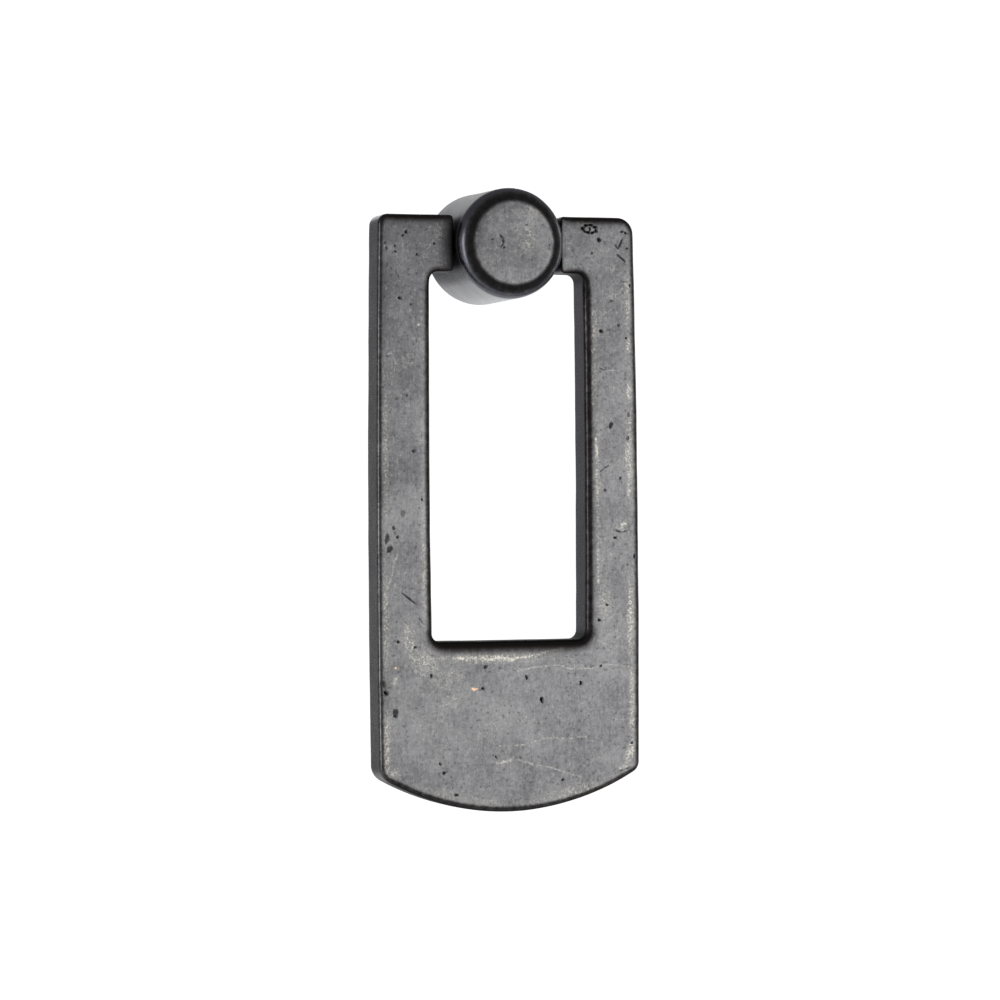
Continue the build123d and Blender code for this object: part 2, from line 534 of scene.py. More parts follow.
# Blowholes and dents of the casting: x and z of the place, half width, half height, turn in
# degrees, depth. Lengths are in millimetres here and in all the marks below.
BAIL_PITS = [
    (-15.3, 1.5, 0.24, 0.26, 0, 0.22),
    (-15.8, 1.0, 0.18, 0.14, 20, 0.14),
    (-18.4, -0.1, 0.16, 0.2, 0, 0.1),
    (-18.3, -0.8, 0.16, 0.16, 0, 0.1),
    (-17.0, -0.5, 0.14, 0.2, 10, 0.1),
    (-16.9, -1.3, 0.2, 0.14, 0, 0.12),
    (-13.7, -1.7, 0.18, 0.18, 0, 0.14),
    (-11.1, -0.1, 0.18, 0.16, 0, 0.16),
    (-16.4, -7.9, 0.2, 0.22, 0, 0.2),
    (-13.2, -36.6, 0.18, 0.2, 0, 0.14),
    (-18.5, -42.1, 0.36, 0.8, -8, 0.09),
    (-17.5, -40.6, 0.28, 0.34, 0, 0.06),
    (-18.1, -43.6, 0.5, 0.5, 20, 0.1),
    (-18.2, -43.9, 0.3, 0.16, 30, 0.16),
    (-16.9, -41.9, 0.24, 0.2, 0, 0.14),
    (-14.5, -29.7, 0.18, 0.18, 0, 0.12),
    (13.9, 0.8, 0.42, 0.28, -35, 0.2),
    (17.4, 2.0, 0.22, 0.16, -20, 0.16),
    (18.0, 1.85, 0.22, 0.2, 0, 0.2),
    (18.2, -0.4, 0.16, 0.18, 0, 0.14),
    (12.8, -1.1, 0.14, 0.14, 0, 0.1),
    (18.6, -5.8, 0.16, 0.24, 0, 0.14),
    (14.1, -12.4, 0.26, 0.3, 15, 0.22),
    (18.0, -13.4, 0.18, 0.18, 0, 0.14),
    (15.7, -8.0, 0.3, 0.24, 0, 0.04),
    (16.8, -11.5, 0.3, 0.2, -30, 0.05),
    (15.5, -26.0, 0.34, 0.5, -20, 0.12),
    (18.2, -24.5, 0.3, 0.4, 0, 0.04),
    (14.5, -35.4, 0.3, 0.26, 0, 0.05),
    (19.0, -45.0, 0.16, 0.34, 0, 0.14),
    (18.1, -27.9, 0.26, 0.34, 0, 0.06),
    (-14.7, -8.8, 0.2, 0.16, 0, 0.06),
    (-15.4, -21.7, 0.2, 0.2, 0, 0.05),
    (-16.1, -38.5, 0.6, 0.6, 0, 0.01),
    (16.9, -33.7, 0.2, 0.2, 0, 0.14),
    (16.0, -42.3, 0.22, 0.2, 0, 0.16),
    (13.5, -54.2, 0.28, 0.2, 10, 0.2),
    (14.7, -52.0, 0.2, 0.18, 0, 0.14),
    (-17.4, -66.9, 0.5, 0.66, 5, 0.11),
    (-17.4, -67.3, 0.36, 0.2, 5, 0.16),
    (-18.8, -64.0, 0.5, 0.26, -30, 0.22),
    (-19.2, -62.7, 0.4, 0.6, 0, 0.1),
    (-12.0, -61.7, 0.22, 0.24, 0, 0.18),
    (-4.3, -63.7, 0.22, 0.2, 0, 0.18),
    (4.6, -65.5, 0.3, 0.42, 20, 0.28),
    (10.6, -63.2, 0.24, 0.28, 15, 0.24),
    (2.3, -62.2, 0.16, 0.4, 8, 0.12),
    (-2.4, -73.5, 0.18, 0.2, 0, 0.14),
    (-10.2, -75.6, 0.3, 0.22, 0, 0.18),
    (-10.8, -74.3, 0.2, 0.2, 0, 0.12),
    (-8.4, -78.8, 0.36, 0.2, 0, 0.18),
    (7.7, -77.1, 0.2, 0.2, 0, 0.14),
    (18.4, -72.1, 0.24, 0.16, 0, 0.12),
    (13.7, -60.8, 0.2, 0.18, 0, 0.14),
    (-16.9, -56.8, 0.22, 0.24, 0, 0.16),
    (-14.4, -57.6, 0.2, 0.22, 0, 0.16),
    (-3.9, -60.6, 0.32, 0.26, 0, 0.1),
]

# The burst blister on the right lug: small holes that run into each other round its middle
BLISTER_PITS = [
    (11.45, 2.4, 0.3, 0.34, 0, 0.26),
    (11.95, 2.85, 0.38, 0.22, 10, 0.24),
    (12.65, 2.92, 0.4, 0.22, -5, 0.26),
    (13.3, 2.6, 0.32, 0.28, -30, 0.28),
    (13.45, 2.1, 0.24, 0.28, 0, 0.22),
    (12.95, 1.82, 0.38, 0.22, 10, 0.26),
    (12.25, 1.84, 0.38, 0.2, 0, 0.24),
    (11.7, 2.0, 0.26, 0.22, -30, 0.2),
    (12.5, 2.36, 0.16, 0.3, 12, 0.16),
]

# Pale worn hairlines: points as x and z, half width and strength
WORN_LINES = [
    ([(-10.4, -59.2), (-9.2, -59.4), (-8.0, -59.2)], 0.3, 0.35),
    ([(-8.0, -59.2), (-7.0, -59.4), (-6.0, -59.2), (-5.2, -59.4)], 0.28, 0.85),
    ([(-4.4, -59.3), (-3.2, -59.5), (-1.8, -59.3), (-0.4, -59.6), (1.0, -59.4)], 0.3, 0.95),
    ([(1.0, -59.4), (2.2, -59.3), (3.6, -59.1), (4.8, -58.8)], 0.2, 0.6),
    ([(4.8, -58.8), (6.2, -58.4), (8.4, -58.1)], 0.18, 0.5),
    ([(1.0, -61.3), (3.0, -60.9), (6.2, -60.6), (7.0, -60.5)], 0.13, 0.42),
    ([(7.0, -60.5), (9.4, -61.2), (12.6, -61.1), (14.6, -60.6), (18.2, -61.0)], 0.12, 0.34),
    ([(-1.8, -72.0), (1.6, -71.9), (5.4, -71.0), (8.4, -71.2), (11.5, -70.9)], 0.13, 0.34),
    ([(1.0, -74.0), (3.4, -74.8), (5.8, -75.2), (8.0, -76.0), (10.5, -76.8)], 0.14, 0.36),
    ([(-2.2, -74.5), (-1.2, -74.3), (-0.2, -74.1)], 0.3, 0.5),
    ([(-14.9, -56.9), (-14.2, -57.9), (-13.2, -58.9), (-12.4, -59.5)], 0.3, 0.35),
    ([(-17.1, -61.8), (-17.4, -62.6)], 0.42, 0.45),
    ([(-9.4, -61.6), (-8.7, -61.2)], 0.26, 0.4),
    ([(12.9, -9.1), (12.9, -13.7)], 0.2, 0.4),
    ([(12.8, -15.2), (12.8, -19.2), (12.8, -23.1)], 0.2, 0.42),
    ([(13.2, -27.9), (13.3, -29.2), (13.3, -30.5)], 0.26, 0.85),
    ([(13.3, -32.2), (13.3, -34.5), (13.4, -36.5)], 0.2, 0.5),
    ([(13.4, -43.3), (13.4, -45.8), (13.4, -48.7)], 0.22, 0.45),
    ([(14.8, -18.2), (15.8, -18.0), (16.8, -18.2)], 0.1, 0.4),
    ([(-18.0, -15.9), (-17.6, -15.6), (-17.3, -16.3), (-17.0, -17.0), (-17.2, -18.2)], 0.12, 0.4),
    ([(-16.8, -44.4), (-17.4, -45.4), (-17.7, -47.3), (-18.4, -49.1)], 0.14, 0.45),
]

# Pale worn patches: x and z, half width, half height, turn in degrees, strength
WORN_PATCHES = [
    (-15.2, -56.4, 1.3, 2.4, 12, 0.34),
    (-13.0, -59.6, 2.4, 1.5, -25, 0.36),
    (-9.6, -62.6, 3.0, 2.0, -20, 0.18),
    (-9.0, -65.6, 2.4, 1.2, 30, 0.2),
    (-3.0, -59.4, 8.0, 0.8, 0, 0.34),
    (18.35, -54.0, 0.5, 6.0, 0, 0.5),
    (18.5, -66.0, 0.45, 6.0, 0, 0.42),
    (18.2, -73.2, 0.6, 1.6, -20, 0.62),
    (17.2, -75.6, 0.8, 0.5, 25, 0.55),
    (18.3, -30.0, 0.45, 8.0, 0, 0.4),
    (18.2, -8.0, 0.4, 6.0, 0, 0.3),
    (-18.7, -72.0, 0.55, 6.0, 0, 0.5),
    (-17.8, -75.6, 1.2, 0.9, -32, 0.34),
    (-18.75, -54.0, 0.5, 9.0, 0, 0.36),
    (-18.6, -30.0, 0.45, 12.0, 0, 0.3),
    (-8.5, -79.2, 7.0, 0.9, -12, 0.2),
    (8.5, -79.0, 7.0, 0.9, 12, 0.22),
    (14.3, -52.0, 1.3, 3.2, 0, 0.26),
    (13.1, -16.0, 0.35, 8.0, 0, 0.3),
    (13.4, -34.0, 0.35, 9.0, 0, 0.32),
    (17.4, -40.4, 0.5, 0.3, 15, 0.85),
    (16.9, -40.9, 1.0, 0.3, -20, 0.4),
    (18.3, -14.4, 0.3, 1.6, 0, 0.5),
    (18.3, -21.2, 0.35, 1.4, 0, 0.5),
    (18.1, -30.3, 0.5, 2.0, 0, 0.45),
    (18.2, -35.7, 0.26, 0.5, 0, 0.9),
    (-13.5, -11.7, 0.2, 0.2, 0, 0.6),
    (-14.3, -13.7, 0.22, 0.22, 0, 0.6),
    (-12.9, -46.0, 0.6, 9.0, 0, 0.24),
]

# Where the patina has chipped off to bare bronze: x and z, half width, half height, turn, strength
BARE_SPOTS = [
    (-5.65, -63.75, 0.34, 0.2, -20, 1.0),
    (-5.2, -63.7, 0.2, 0.1, 10, 0.8),
    (-17.3, -60.5, 0.22, 0.18, 0, 0.6),
]

# Painted shade: the left lug's face darkens towards its end, where the post beside it shades it.
# It is written as the worn patches are.
LUG_SHADE = (-8.2, 0.0, 1.7, 7.0, 0, 0.68)


def worn_lines():
    """The worn hairlines cut into straight pieces, as the nicks are written."""
    pieces = []
    for line, half_width, strength in WORN_LINES:
        for start, end in zip(line, line[1:]):
            pieces.append((*start, *end, half_width, strength))
    return pieces


def line_gap(places, x1, z1, x2, z2):
    """Distance of each place from a straight mark, and how far along the mark it lies."""
    start = np.array((x1, z1)) * MM
    along = np.array((x2, z2)) * MM - start
    share = np.clip((places - start) @ along / (along @ along), 0, 1)
    return np.linalg.norm(places - start - share[:, None] * along, axis=1), share


def turned(offset, degrees):
    """Offsets across and along a mark that is turned."""
    angle = math.radians(degrees)
    across = offset[:, 0] * math.cos(angle) + offset[:, 1] * math.sin(angle)
    along = offset[:, 1] * math.cos(angle) - offset[:, 0] * math.sin(angle)
    return across, along


def oval_share(places, ovals):
    """Each oval's strength at its middle, fading softly to 0 past its edge."""
    shares = np.zeros(len(places))
    for x, z, half_width, half_height, turn, strength in ovals:
        across, along = turned(places / MM - np.array((x, z)), turn)
        reach = np.hypot(across / half_width, along / half_height)
        shares = np.maximum(shares, (1 - smooth_step(0.2, 1.6, reach)) * strength)
    return shares


def worn_share(places):
    """How far the patina is worn at each place, from 0 to 1."""
    shares = oval_share(places, WORN_PATCHES)
    for *ends, half_width, strength in worn_lines():
        gap, _ = line_gap(places, *ends)
        shares = np.maximum(shares, (1 - smooth_step(0.2, 1.3, gap / (half_width * MM))) * strength)
    return shares


# Tool nicks: x and z of both ends, half width, depth
BAIL_NICKS = [
    (-16.5, -49.7, -14.2, -51.5, 0.11, 0.07),
    (16.3, 0.2, 16.8, -0.5, 0.1, 0.07),
    (16.8, -0.5, 17.5, 1.0, 0.12, 0.08),
    (16.6, -1.2, 18.0, -2.4, 0.12, 0.08),
    (13.7, -32.8, 14.4, -32.2, 0.09, 0.05),
    (14.4, -32.2, 15.2, -31.8, 0.08, 0.05),
    (13.8, -17.7, 14.4, -18.0, 0.08, 0.05),
    (14.4, -18.0, 14.8, -17.9, 0.08, 0.05),
    (16.2, -41.3, 17.1, -41.5, 0.1, 0.06),
    (17.1, -41.5, 18.0, -41.2, 0.09, 0.05),
    (-13.9, -53.4, -13.1, -54.4, 0.08, 0.04),
    (16.2, -76.2, 18.3, -75.6, 0.08, 0.05),
]

# A nick this deep shows as dark as nicks get
FULL_NICK = 0.07 * MM


def pit_depths(places, pits, seed):
    """How deep the pits reach at each place, and how much of each place lies in a pit."""
    dice = np.random.default_rng(seed)
    depths = np.zeros(len(places))
    shares = np.zeros(len(places))
    drawn_size = 0.88 * MM
    for x, z, half_width, half_height, turn, depth in pits:
        phases = dice.uniform(0, 2 * math.pi, 3)
        offset = places - np.array((x, z)) * MM
        near = np.abs(offset).max(axis=1) < 2.2 * max(half_width, half_height) * MM
        if not near.any():
            continue
        across, along = turned(offset[near], turn)
        across = across / (drawn_size * half_width)
        along = along / (drawn_size * half_height)
        around = np.arctan2(along, across)
        ragged = 1 + 0.14 * np.sin(2 * around + phases[0]) + 0.1 * np.sin(3 * around + phases[1])
        ragged += 0.06 * np.sin(5 * around + phases[2])
        reach = np.hypot(across, along) / ragged
        share = 1 - smooth_step(0.45, 1.15, reach)
        depths[near] = np.maximum(depths[near], share * depth * MM)
        # A deep pit holds more black than a shallow dent
        blackness = min(1.0, 0.25 + 3.4 * depth)
        shares[near] = np.maximum(shares[near], (1 - smooth_step(0.4, 1.1, reach)) * blackness)
    return depths, shares


def nick_depths(places, nicks):
    """How deep the tool nicks reach at each place."""
    depths = np.zeros(len(places))
    for *ends, half_width, depth in nicks:
        gap, share = line_gap(places, *ends)
        taper = np.sqrt(np.clip(4 * share * (1 - share), 0.02, 1))
        cut = (1 - smooth_step(0.2, 1.0, gap / (half_width * MM))) * taper
        depths = np.maximum(depths, cut * depth * MM)
    return depths


# Spacing of the points that hold a pit or a nick, and the least gap between any two of them
SPOT_STEP = 0.09 * MM
SPOT_GAP = 0.07 * MM


def pit_spots(pits):
    """Extra points in and round each pit, dense enough to hold its form."""
    spots = []
    for x, z, half_width, half_height, *_ in pits:
        reach = 1.45 * max(half_width, half_height) * MM
        steps = int(reach / SPOT_STEP) + 1
        grid = np.arange(-steps, steps + 1) * SPOT_STEP
        across, along = np.meshgrid(grid, grid)
        across = across + (np.arange(2 * steps + 1) % 2)[:, None] * SPOT_STEP / 2
        keep = np.hypot(across, along) < reach
        spots.append(np.stack((x * MM + across[keep], z * MM + along[keep]), axis=1))
    return np.vstack(spots)


def nick_spots(nicks):
    """Extra points in five rows along each nick or worn line."""
    spots = []
    for x1, z1, x2, z2, half_width, _ in nicks:
        start = np.array((x1, z1)) * MM
        along = np.array((x2, z2)) * MM - start
        size = np.linalg.norm(along)
        unit = along / size
        across = np.array((-unit[1], unit[0]))
        steps = np.arange(0, size, SPOT_STEP)
        for row in range(-2, 3):
            spots.append(start + unit * steps[:, None] + across * row * half_width * MM * 0.7)
    return np.vstack(spots)


def thin_grid(points, cell):
    """Keeps one point in each small cell, so that overlapping dense patches don't crowd."""
    keys = np.round(points / cell).astype(int)
    _, first = np.unique(keys, axis=0, return_index=True)
    return points[np.sort(first)]


def nearest_points(keepers, places):
    """Distance from each place to the nearest of the keepers, and that one's index."""
    tree = KDTree(len(keepers))
    for i, p in enumerate(keepers):
        tree.insert((p[0], p[1], 0), i)
    tree.balance()
    found = [tree.find((p[0], p[1], 0)) for p in places]
    return np.array([f[2] for f in found]), np.array([f[1] for f in found])


def thin_out(points, keepers, gap):
    """Drops the points that lie too close to the keepers."""
    return points[nearest_points(keepers, points)[0] > gap]


def face_fill(rim, step, dense_points, seed=3):
    """Triangles that fill a rim with an even, slightly uneven grid, denser where asked."""
    dice = np.random.default_rng(seed)
    low = rim.min(axis=0)
    high = rim.max(axis=0)
    rows = np.arange(low[1], high[1], step * math.sqrt(3) / 2)
    columns = np.arange(low[0], high[0], step)
    across, along = np.meshgrid(columns, rows)
    across = across + (np.arange(len(rows)) % 2)[:, None] * step / 2
    grid = np.stack((across.ravel(), along.ravel()), axis=1)
    grid += dice.uniform(-0.12, 0.12, grid.shape) * step
    rim_gap = 0.45 * step
    if len(dense_points):
        rim_gap = 0.06 * MM
        grid = np.vstack((dense_points, thin_out(grid, dense_points, 0.5 * step)))
    grid = thin_out(grid[inside(rim, grid)], rim, rim_gap)
    places = np.vstack((rim, grid))
    border = [(i, (i + 1) % len(rim)) for i in range(len(rim))]
    result = delaunay_2d_cdt([Vector(p) for p in places / MM], border, [], 0, 1e-6, True)
    filled = np.array([tuple(p) for p in result[0]]) * MM
    triangles = np.array(result[2])
    kept = inside(rim, filled[triangles].mean(axis=1))
    return filled, triangles[kept].tolist(), result[3]


def ring_profile(outline, back, thickness, turns=11, walls=9):
    """Insets, depths and facings of the rings from the front face round the wall to the back."""
    front = outline.rounding
    start = math.pi / 2 - outline.tilt
    drop = outline.fall - front * (1 - np.cos(outline.tilt))
    rings = []
    for share in np.linspace(1, 0, turns):
        turn = start * share
        rings.append((front * (1 - np.cos(turn)), drop + front * (1 - np.sin(turn)), np.sin(turn)))
    nothing = np.zeros_like(front)
    wall_start = drop + front
    for share in np.linspace(0, 1, walls + 1)[1:-1]:
        rings.append((nothing, wall_start + (thickness - back - wall_start) * share, nothing))
    for turn in np.linspace(0, math.pi / 2, turns - 4):
        inset = nothing + back * (1 - math.cos(turn))
        depth = nothing + thickness - back * (1 - math.sin(turn))
        rings.append((inset, depth, nothing))
    return rings


class DROPPULL_OT_bail(bpy.types.Operator):
    """Builds the cast bail with its soft edges, blowholes and pin hole"""

    bl_idname = "drop_pull.bail"
    bl_label = "Cast Bail"

    def execute(self, context):
        bail = context.scene.drop_pull_bail
        finish = context.scene.drop_pull_finish
        post_radius = bail_post_radius(context)
        made = self.cast(bail, Outline(bail, post_radius), post_radius)
        face_outwards(made)
        self.dress(made.data, bail)
        drill(made, PIN_RADIUS, PIN_LOW.x - BLIND_HOLE_SPARE, BEYOND_SIDE, PIVOT)
        shade(made)
        name = "cast_bronze_black_patina_rubbed"
        made.data.materials.append(bronze(name, finish, finish.wall, 0.0, 0.3, 0.11))
        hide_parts("bail")
        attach(made, "bail")
        return {"FINISHED"}

    def cast(self, bail, outline, post_radius):
        """The slab: rings of points from its front over the side wall, filled at both ends."""
        front_face = BAIL_LOW.y + SKIN
        thickness = BAIL_HIGH.y - BAIL_LOW.y - 2 * SKIN
        rings = ring_profile(outline, bail.back_edge, thickness)
        size = len(outline.points)
        points = []
        facings = []
        for inset, depth, facing in rings:
            flat = outline.points - outline.normals * inset[:, None]
            points.append(np.stack((flat[:, 0], front_face + depth, flat[:, 1]), axis=1))
            facings.append(facing)
        faces = ring_faces(len(rings), size)
        rims = [np.zeros(size * len(rings))]
        fades = [np.tile(outline.fade, len(rings))]

        pits = pit_spots(BAIL_PITS + BLISTER_PITS + BARE_SPOTS)
        spots = np.vstack((pits, nick_spots(BAIL_NICKS), nick_spots(worn_lines())))
        spots = thin_grid(spots, SPOT_GAP)
        last_ring = (len(rings) - 1) * size
        total = len(rings) * size
        flats = []
        for ring, height, first, step, dense, is_front in (
            (points[0], front_face, 0, 0.24 * MM, spots, True),
            (points[-1], front_face + thickness, last_ring, 0.7 * MM, [], False),
        ):
            rim = ring[:, [0, 2]]
            places, triangles, sources = face_fill(rim, step, dense)
            index = []
            extra = []
            for place, origin in zip(places, sources):
                on_rim = [s for s in origin if s < size]
                if on_rim:
                    index.append(first + on_rim[0])
                else:
                    index.append(total + len(extra))
                    extra.append((place[0], height, place[1]))
            total += len(extra)
            extra = np.array(extra)
            gaps, nearest = nearest_points(rim, extra[:, [0, 2]])
            if is_front:
                share = np.clip(1 - gaps / outline.fall_width[nearest], 0, 1)
                extra[:, 1] += outline.fall[nearest] * share**2
            flats.append(extra)
            facings.append(np.full(len(extra), 1.0 if is_front else 0.0))
            rims.append(gaps / MM)
            fades.append(outline.fade[nearest])
            for triangle in triangles:
                corners = [index[c] for c in triangle]
                faces.append(corners if is_front else corners[::-1])
        points = np.vstack(points + flats)
        places = points[:, [0, 2]]
        facing = np.concatenate(facings)
        deposit_and_shade = np.zeros(len(points))
        deposit_and_shade[: size * len(rings)] = np.tile(outline.deposit_and_shade, len(rings))
        # Painted shade on the sides and back, in the gaps beside the post and on the walls under the foot and the
        # lugs, with unrubbed black patina in the gaps
        unrubbed_and_shaded = np.maximum(crevice_shade_and_patina(points, post_radius), deposit_and_shade) * (facing < 0.8)
        # Painted shade on the left lug's face beside the post
        shaded = oval_share(places, [LUG_SHADE]) * (facing > 0.6)
        values = {
            "facing": facing,
            "rim": np.concatenate(rims),
            "fade": np.concatenate(fades) / MM,
            "worn": worn_share(places) * (facing > 0.6),
            "bare": oval_share(places, BARE_SPOTS) * (facing > 0.6),
            "grime_and_shade": np.maximum(unrubbed_and_shaded, shaded),
        }
        return add_mesh("bail_casting", points, faces, values)

    def dress(self, mesh, bail):
        """Waves, pits and nicks of the casting, all cut inwards."""
        points = read_vectors(mesh, "co")
        normals = read_vectors(mesh, "normal")
        places = points[:, [0, 2]]
        front = np.clip(-normals[:, 1], 0, 1)
        uneven = uneven_depth(points, bail.waviness, 14 * MM, 5 * MM, seed=11)
        depth, share = pit_depths(places, BAIL_PITS + BLISTER_PITS, seed=21)
        nicks = nick_depths(places, BAIL_NICKS)
        share = np.maximum(share, 0.6 * np.clip(nicks / FULL_NICK, 0, 1))
        press_in(mesh, points, normals, uneven + (depth + nicks) * front, share * front)


def crevice_shade_and_patina(points, post_radius):
    """1 in the narrow gaps between the lugs and the post: painted shade there, together with black patina that is
    never rubbed.
    """
    reach = np.hypot(points[:, 0], points[:, 2] - PIVOT.z)
    near = 1 - smooth_step(post_radius + 0.9 * MM, post_radius + 1.8 * MM, reach)
    half_height = BAIL_HIGH.z - PIVOT.z
    level = 1 - smooth_step(0.7 * half_height, 1.1 * half_height, np.abs(points[:, 2] - PIVOT.z))
    half_thickness = BAIL_HIGH.y - PIVOT.y
    depth = 1 - smooth_step(half_thickness, 1.6 * half_thickness, np.abs(points[:, 1] - PIVOT.y))
    return near * level * depth


def bail_post_radius(context):
    """Radius of the post at the bail's back face."""
    post = context.scene.drop_pull_post
    back = POST_HIGH.x
    front = post.front_diameter / 2
    share = -BAIL_HIGH.y / (POST_HIGH.y - POST_LOW.y - post.rim_radius)
    return back + (front - back) * share


# The crescent ding on the post's face, written as the nicks are, and the small pits beside it
POST_DING = [
    (-2.2, 1.2, -1.7, 0.5, 0.16, 0.05),
    (-1.7, 0.5, -1.7, -0.1, 0.2, 0.05),
    (-1.7, -0.1, -2.0, -0.7, 0.15, 0.05),
]
POST_PITS = [
    (-3.3, 0.45, 0.16, 0.16, 0, 0.06),
    (-1.55, -0.7, 0.16, 0.2, 0, 0.08),
    (1.9, 2.6, 0.14, 0.14, 0, 0.05),
    (2.6, -2.4, 0.16, 0.12, 20, 0.05),
]

# Pale flecks right of the post face's middle, written as the worn patches are
POST_FLECKS = [(1.8, 0.4, 1.8, 2.6, -20, 0.14)]

# Steps round the post, along its face and barrel, and to one turn of the thread
POST_ROUND_STEPS = 224
POST_FACE_STEPS = 52
POST_BARREL_STEPS = 40
THREAD_STEPS = 10

DRILL_POINT_ANGLE = math.radians(118)


class DROPPULL_OT_post(bpy.types.Operator):
    """Builds the turned post with its tapped hole and cross bore"""

    bl_idname = "drop_pull.post"
    bl_label = "Turned Post"

    def execute(self, context):
        post = context.scene.drop_pull_post
        finish = context.scene.drop_pull_finish
        made = self.turn(post)
        face_outwards(made)
        self.dress(made.data, post)
        drill(made, PIN_RADIUS + PIN_CLEARANCE, -BEYOND_BARREL, BEYOND_BARREL, PIVOT)
        shade(made)
        name = "turned_bronze_black_patina_rubbed"
        made.data.materials.append(bronze(name, finish, finish.barrel, 0.66, 0.86, 0.05))
        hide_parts("post")
        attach(made, "post")
        return {"FINISHED"}

    def turn(self, post):
        """Turns the profile about the post's axis, with a thread in the hole."""
        size = POST_ROUND_STEPS
        angles = np.linspace(0, 2 * math.pi, size, endpoint=False)
        points = []
        facings = []
        hollows = []
        rows = self.profile(post)
        for radius, y, facing, hollow in rows:
            ring = np.full(size, radius)
            if hollow:
                ring = ring + self.thread(post, y, angles)
            rounded = (ring * np.cos(angles), np.full(size, y), ring * np.sin(angles))
            points.append(np.stack(rounded, axis=1))
            facings.append(np.full(size, facing))
            hollows.append(np.full(size, 1.0 if hollow else 0.0))
        faces = ring_faces(len(rows), size)
        points = np.vstack(points)
        first = len(points)
        last = first - size
        centres = (points[:size].mean(axis=0), points[-size:].mean(axis=0))
        points = np.vstack((points, *centres))
        facing = np.concatenate((*facings, [1.0, 0.0]))
        hollow = np.concatenate((*hollows, [0.0, 1.0]))
        for i in range(size):
            j = (i + 1) % size
            faces.append((first, j, i))
            faces.append((first + 1, last + i, last + j))

        reach = np.hypot(points[:, 0], points[:, 2])
        face_edge = post.front_diameter / 2 - post.rim_radius
        on_face = facing > 0.99
        # Painted shade: the barrel darkens towards its top, and in the gaps beside the lugs, where unrubbed black
        # patina lies as well
        painted_top_shade = 0.22 * smooth_step(0.0, 6 * MM, points[:, 2])
        barrel_shade_and_patina = np.maximum(crevice_shade_and_patina(points, post.front_diameter / 2), painted_top_shade)
        barrel_shade_and_patina = barrel_shade_and_patina * (facing < 0.05) * (1 - hollow)
        black_ring = smooth_step(0.8, 0.93, facing) * (facing < 0.999) * 0.75
        values = {
            "facing": facing,
            "hollow": hollow,
            "rim": np.clip((face_edge - reach) / MM, 0, None) * on_face,
            "fade": np.full(len(points), 0.4),
            "grime_and_shade": np.maximum(barrel_shade_and_patina, black_ring),
            "worn": oval_share(points[:, [0, 2]], POST_FLECKS) * on_face,
        }
        return add_mesh("post_turning", points, faces, values)

    def profile(self, post):
        """Rings from the front face's middle over the rim and barrel into the tapped hole.

        Each is a radius, a depth, how far it faces the front and whether it lies in the hole.
        """
        front = POST_LOW.y + SKIN
        back = POST_HIGH.y - SKIN
        rim = post.rim_radius
        edge = post.back_edge
        front_radius = post.front_diameter / 2 - SKIN
        back_radius = POST_HIGH.x - SKIN
        hole_radius = SCREW_HOLE["dims"]["r_mm"] * MM
        hole_depth = SCREW_HOLE["dims"]["length_mm"] * MM
        face_edge = front_radius - rim
        rows = []
        for share in np.linspace(0, 1, POST_FACE_STEPS)[1:]:
            rows.append((face_edge * share, front + post.crown * share**6, 1.0, False))
        front += post.crown
        for turn in np.linspace(0, math.pi / 2, 15)[1:]:
            radius = face_edge + rim * math.sin(turn)
            rows.append((radius, front + rim * (1 - math.cos(turn)), math.cos(turn), False))
        barrel_end = back - edge
        for share in np.linspace(0, 1, POST_BARREL_STEPS)[1:]:
            y = front + rim + (barrel_end - front - rim) * share
            rows.append((front_radius + (back_radius - front_radius) * share, y, 0.0, False))
        for turn in np.linspace(0, math.pi / 2, 6)[1:]:
            radius = back_radius - edge * (1 - math.cos(turn))
            rows.append((radius, barrel_end + edge * math.sin(turn), 0.0, False))
        inner = back_radius - edge
        for share in np.linspace(0, 1, 14)[1:]:
            rows.append((inner + (hole_radius - inner) * share, back, 0.0, share > 0.999))
        steps = int(hole_depth / post.thread_pitch * THREAD_STEPS)
        for share in np.linspace(0, 1, steps)[1:]:
            rows.append((hole_radius, back - hole_depth * share, 0.0, True))
        cone = hole_radius / math.tan(DRILL_POINT_ANGLE / 2)
        for share in np.linspace(0, 1, 6)[1:-1]:
            rows.append((hole_radius * (1 - share), back - hole_depth - cone * share, 0.0, True))
        return rows

    def thread(self, post, y, angles):
        """Extra radius of the screw thread at a depth: a vee with flat crests and roots."""
        depth = POST_HIGH.y - y
        hole_depth = SCREW_HOLE["dims"]["length_mm"] * MM
        phase = (y / post.thread_pitch + angles / (2 * math.pi)) % 1.0
        wave = np.clip((0.5 - np.abs(phase - 0.5)) * 3.2 - 0.35, 0, 1)
        start = float(smooth_step(0.0, 0.5, depth / post.thread_pitch))
        runout = 1 - float(smooth_step(hole_depth - post.thread_pitch, hole_depth, depth))
        return wave * post.thread_depth * start * runout

    def dress(self, mesh, post):
        """Hand-dressed unevenness, cut inwards, with one shallow ding on the face."""
        points = read_vectors(mesh, "co")
        normals = read_vectors(mesh, "normal")
        places = points[:, [0, 2]]
        front = np.clip(-normals[:, 1], 0, 1)
        hollow = np.zeros(len(points), dtype=np.float32)
        mesh.attributes["hollow"].data.foreach_get("value", hollow)
        uneven = uneven_depth(points, post.waviness, 9 * MM, 3.5 * MM, seed=31)
        depth, share = pit_depths(places, POST_PITS, seed=33)
        ding = nick_depths(places, POST_DING)
        full_ding = POST_DING[0][-1] * MM
        share = np.maximum(share, 0.7 * ding / full_ding)
        depth = uneven + np.maximum(depth, ding) * front
        press_in(mesh, points, normals, depth * (1 - hollow), share * front)


class DROPPULL_OT_pin(bpy.types.Operator):
    """Finishes the steel pin that the bail swings on"""

    bl_idname = "drop_pull.pin"
    bl_label = "Pivot Pin"

    def execute(self, context):
        pin = frame["nodes"]["pivot_pin"]
        pin.data.materials.clear()
        pin.data.materials.append(blackened_steel(context.scene.drop_pull_finish))
        return {"FINISHED"}


# Finishes


